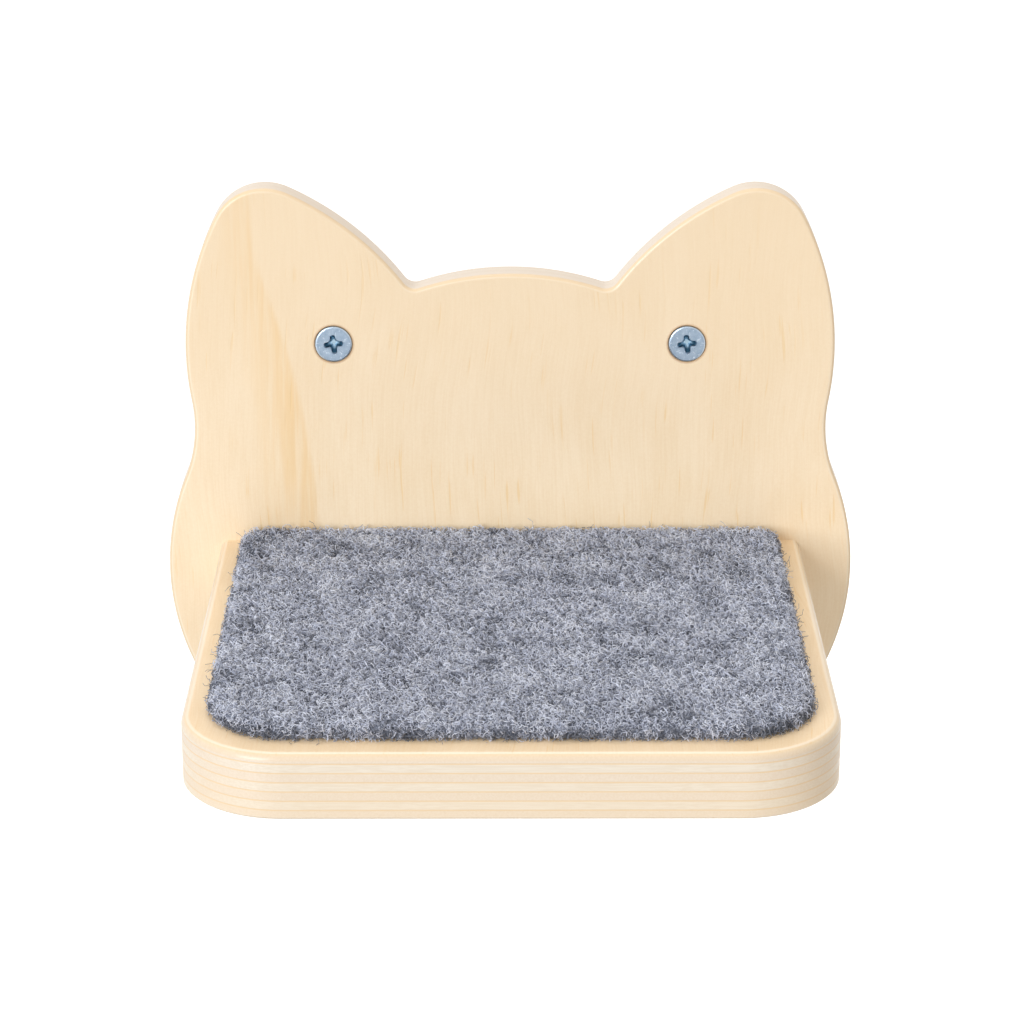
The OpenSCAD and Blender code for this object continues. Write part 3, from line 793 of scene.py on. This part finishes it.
lift = product(tree, took["Lift"], maths(tree, "MULTIPLY_ADD", clump, 2.0, -0.5))
raised = add(tree, "GeometryNodeSetPosition", {
    "Geometry": toned.outputs[0], "Offset": scaled(tree, roots["Normal"], lift)})

# One fibre, a part of a turn that starts at its root, is set on each root with its own lean and size
curl = add(tree, "GeometryNodeCurveSpiral", {
    "Resolution": 6, "Rotations": took["Turns"], "Start Radius": took["Curl"],
    "End Radius": product(tree, took["Curl"], 0.7), "Height": took["Rise"]})
curl = add(tree, "GeometryNodeTransform", {
    "Geometry": curl.outputs[0], "Translation": vector_from(tree, product(tree, took["Curl"], -1.0))})
upright = product(tree, took["Lean"], -1.0)
lean = vector_from(tree, random_value(tree, upright, took["Lean"], 2),
                   random_value(tree, upright, took["Lean"], 3), random_value(tree, -math.pi, math.pi, 4))
lean = add(tree, "FunctionNodeRotateRotation", {
    0: roots["Rotation"], 1: add(tree, "FunctionNodeEulerToRotation", {0: lean}).outputs[0]},
    rotation_space="LOCAL")
tufts = add(tree, "GeometryNodeInstanceOnPoints", {
    "Points": raised.outputs[0], "Instance": curl.outputs[0], "Scale": random_value(tree, 0.6, 1.35, 5),
    "Rotation": lean.outputs[0]})
strands = add(tree, "GeometryNodeRealizeInstances", {"Geometry": tufts.outputs[0]})
factor = add(tree, "GeometryNodeSplineParameter").outputs["Factor"]
strands = add(tree, "GeometryNodeStoreNamedAttribute", {
    "Geometry": strands.outputs[0], "Name": "along", "Value": factor}, data_type="FLOAT", domain="POINT")
waver = add(tree, "ShaderNodeTexNoise", {"Vector": root_at, "Scale": WAVER_WAVES, "Detail": 1.0})
waver_reach = product(tree, took["Curl"], product(tree, factor, 2.0))
strands = add(tree, "GeometryNodeSetPosition", {
    "Geometry": strands.outputs[0], "Offset": vector_of(
        tree, "MULTIPLY", vector_of(tree, "SUBTRACT", waver.outputs["Color"], (0.5, 0.5, 0.5)),
        vector_from(tree, waver_reach, waver_reach, waver_reach))})
strands = add(tree, "GeometryNodeSetCurveRadius", {
    "Curve": strands.outputs[0], "Radius": maths(tree, "MULTIPLY_ADD", factor, -0.6, 1.0)})
section = add(tree, "GeometryNodeCurvePrimitiveCircle", {"Resolution": 3, "Radius": took["Width"]})
fibre = add(tree, "GeometryNodeCurveToMesh", {
    "Curve": strands.outputs[0], "Profile Curve": section.outputs[0]})
tone_at, along_at = (
    add(tree, "GeometryNodeInputNamedAttribute", {"Name": name}, data_type="FLOAT").outputs[0]
    for name in ("tone", "along"))
# A little jitter gives each face of a fibre some width on the map
jitter = add(tree, "FunctionNodeRandomValue", {2: -0.004, 3: 0.004}, data_type="FLOAT").outputs[1]
fibre = add(tree, "GeometryNodeStoreNamedAttribute", {
    "Geometry": fibre.outputs[0], "Name": "OFBake", "Value": vector_from(
        tree, total(tree, maths(tree, "MULTIPLY_ADD", tone_at, 0.98, 0.01), jitter),
        maths(tree, "MULTIPLY_ADD", along_at, 0.46, 0.01))}, data_type="FLOAT2", domain="CORNER")
give(tree, gave, Geometry=add(tree, "GeometryNodeSetMaterial", {
    "Geometry": add(tree, "GeometryNodeRealizeInstances", {"Geometry": fibre.outputs[0]}).outputs[0],
    "Material": took["Material"]}).outputs[0])

fibre_finish, tree, surface = new_material("felt_fibres")
tone_at, along_at = (
    add(tree, "ShaderNodeAttribute", attribute_name=name).outputs["Fac"] for name in ("tone", "along"))
tone = blend_of(tree, share(tree, tone_at, 0.0, 0.5), rgb(112, 117, 132), rgb(208, 213, 231))
tone = blend_of(tree, share(tree, tone_at, 0.5, 1.0), tone, rgb(238, 242, 255))
# Darker towards each fibre's root: painted shade
tree.links.new(blend_of(tree, share(tree, along_at, 0.0, 0.5, 0.45, 0.0), tone, rgb(102, 107, 120)),
               surface["Base Color"])
tree.links.new(share(tree, tone_at, 0.0, 1.0, 0.85, 0.7), surface["Roughness"])
surface["Sheen Weight"].default_value, surface["Sheen Roughness"].default_value = 0.15, 0.5

# The base shows through the gaps between the fibres; its dark colour is painted shade
felt_base_painted_shade, tree, surface = new_material("felt_base_painted_shade")
matted = noise(tree, in_mm(tree), 0.9, 4.0, 0.7)
tree.links.new(blend_of(tree, share(tree, matted), rgb(94, 98, 110), rgb(160, 166, 184)),
               surface["Base Color"])
tree.links.new(share(tree, matted, to_low=0.95, to_high=0.8), surface["Roughness"])
tree.links.new(bump_of(tree, matted, 0.5), surface["Normal"])
dress(carpet, felt_base_painted_shade)


def grown(name, **values):
    """A copy of the pad's base turned into the fibres that grow on it."""
    copy = new_piece(name, carpet.data.copy())
    grow(copy, pile, **values)
    return copy


curls = grown("curls", **{
    "Density": 3.1e6, "Curl": 0.0008, "Rise": 0.0007, "Turns": 0.65, "Width": 0.00011, "Lean": 0.85,
    "Rim Thicker": 1.7, "Tone": 0.57, "Seed": 7, "Material": fibre_finish})
hairs = grown("hairs", **{
    "Density": 1.7e5, "Curl": 0.0011, "Rise": 0.0022, "Turns": 0.5, "Width": 0.00007, "Lean": 0.9,
    "Rim Only": 1.0, "Tone": 0.15, "Spread": 0.2, "Seed": 29, "Material": fibre_finish})
with bpy.context.temp_override(active_object=carpet, selected_editable_objects=[carpet, curls, hairs]):
    bpy.ops.object.join()
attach(carpet, "root")
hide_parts("carpet_pad")


# Two 6 by 50 mm countersunk wood screws of zinc-plated steel hold the plate on the wall. Their heads stand
# a little proud of the plate, and both recesses have stopped a little anticlockwise of square.
WALL_NECK_R, WALL_CORE_R, WALL_LONG, WALL_PITCH = 2.2, 1.9, 50, 2.6
WALL_RECESS, WALL_TURN = (2.75, 1.55, 2.4), math.radians(-6.5)
for side, label in ((-1, "left"), (1, "right")):
    wood_screw("countersunk_wall_screw_" + label, "wall_screw_" + label,
               into_wall(side * WALL_SCREW_X, -PLATE_THICK - WALL_PROUD, 0), WALL_TURN,
               WALL_HEAD_R, WALL_RIM, WALL_NECK_R, PLATE_THICK + WALL_PROUD, WALL_CORE_R, WALL_THREAD_R,
               WALL_LONG, WALL_PITCH, WALL_RECESS)


# The studio: a pale floor well below the shelf, a white surround, a large soft key light on the left, and
# weak lights on the right, above, behind and low on the left. The camera looks down by 20 degrees.
FLOOR_HALF, FLOOR_DOWN, FLOOR_GLOW, SURROUND_LIGHT = 9, 1.1, 0.82, 0.75


def seen_directly(tree):
    """1 for the rays that show a thing itself, and 0 for those that only light the shelf."""
    seen = add(tree, "ShaderNodeLightPath").outputs
    return maths(tree, "MAXIMUM", seen["Is Camera Ray"], maths(
        tree, "MAXIMUM", seen["Is Glossy Ray"], seen["Is Transmission Ray"]))


white, tree, surface = new_material("pale_floor")
surface["Base Color"].default_value = rgb(160, 160, 160)
surface["Roughness"].default_value = 0.9
surface["Emission Color"].default_value = (1, 1, 1, 1)
tree.links.new(product(tree, seen_directly(tree), FLOOR_GLOW), surface["Emission Strength"])
floor_shape = bpy.data.meshes.new("studio_floor")
floor_shape.from_pydata([(x * FLOOR_HALF, y * FLOOR_HALF, -FLOOR_DOWN) for x, y in (
    (-1, -1), (1, -1), (1, 1), (-1, 1))], [], [(0, 1, 2, 3)])
studio_floor = new_piece("studio_floor", floor_shape)
dress(studio_floor, white)

surround = bpy.data.worlds.new("white_surround")
surround.use_nodes = True
tree = surround.node_tree
tree.nodes.clear()
direct = seen_directly(tree)
glow = add(tree, "ShaderNodeBackground", {
    "Color": blend_of(tree, direct, (1.045, 0.99, 0.89, 1), (1, 1, 1, 1)),
    "Strength": share(tree, direct, 0.0, 1.0, SURROUND_LIGHT, 1.0)})
tree.links.new(glow.outputs[0], add(tree, "ShaderNodeOutputWorld").inputs[0])
scene.world = surround


def soft_light(name, place, aim, wide, high, watts, tint=(1, 1, 1)):
    """A lamp of this size in metres that shines from its place to its aim."""
    lamp = bpy.data.lights.new(name, "AREA")
    lamp.shape, lamp.size, lamp.size_y, lamp.energy, lamp.color = "RECTANGLE", wide, high, watts, tint
    made = bpy.data.objects.new(name, lamp)
    scene.collection.objects.link(made)
    way = Vector(aim) - Vector(place)
    made.matrix_world = Matrix.Translation(place) @ way.to_track_quat("-Z", "Y").to_matrix().to_4x4()
    return made


soft_light("key_light", (-2.5, -3.85, 1.3), (0, -0.05, -0.05), 2.2, 2.2, 128, (0.95, 1.02, 1.12))
soft_light("fill_light", (2.6, -3.2, 1), (0, -0.05, -0.05), 2.8, 2.8, 2)
soft_light("back_light", (0, 1.6, 3.8), (0, -0.05, -0.05), 1.6, 0.8, 20)
# The one behind lights the shelf's back without a glint on the edges that face the camera
soft_light("behind_light", (0.8, 3, -0.55), (0, 0, -0.05), 1.4, 0.7, 20).visible_glossy = False
soft_light("low_light", (-1.5, -2.3, -0.8), (0, -0.1, -0.07), 0.7, 0.25, 1.3, (0.75, 1, 1.25))

# The camera, fitted to the board's corners, the plate's outline and the screw heads in the photograph
lens = bpy.data.cameras.new("camera")
lens.lens, lens.sensor_width = 113.38, 36
camera = bpy.data.objects.new("camera", lens)
camera.location = (-0.0017, -0.9088, 0.2754)
camera.rotation_euler = (math.radians(70), 0, math.radians(-0.14))
scene.collection.objects.link(camera)
scene.camera = camera
scene.view_settings.view_transform = "Standard"
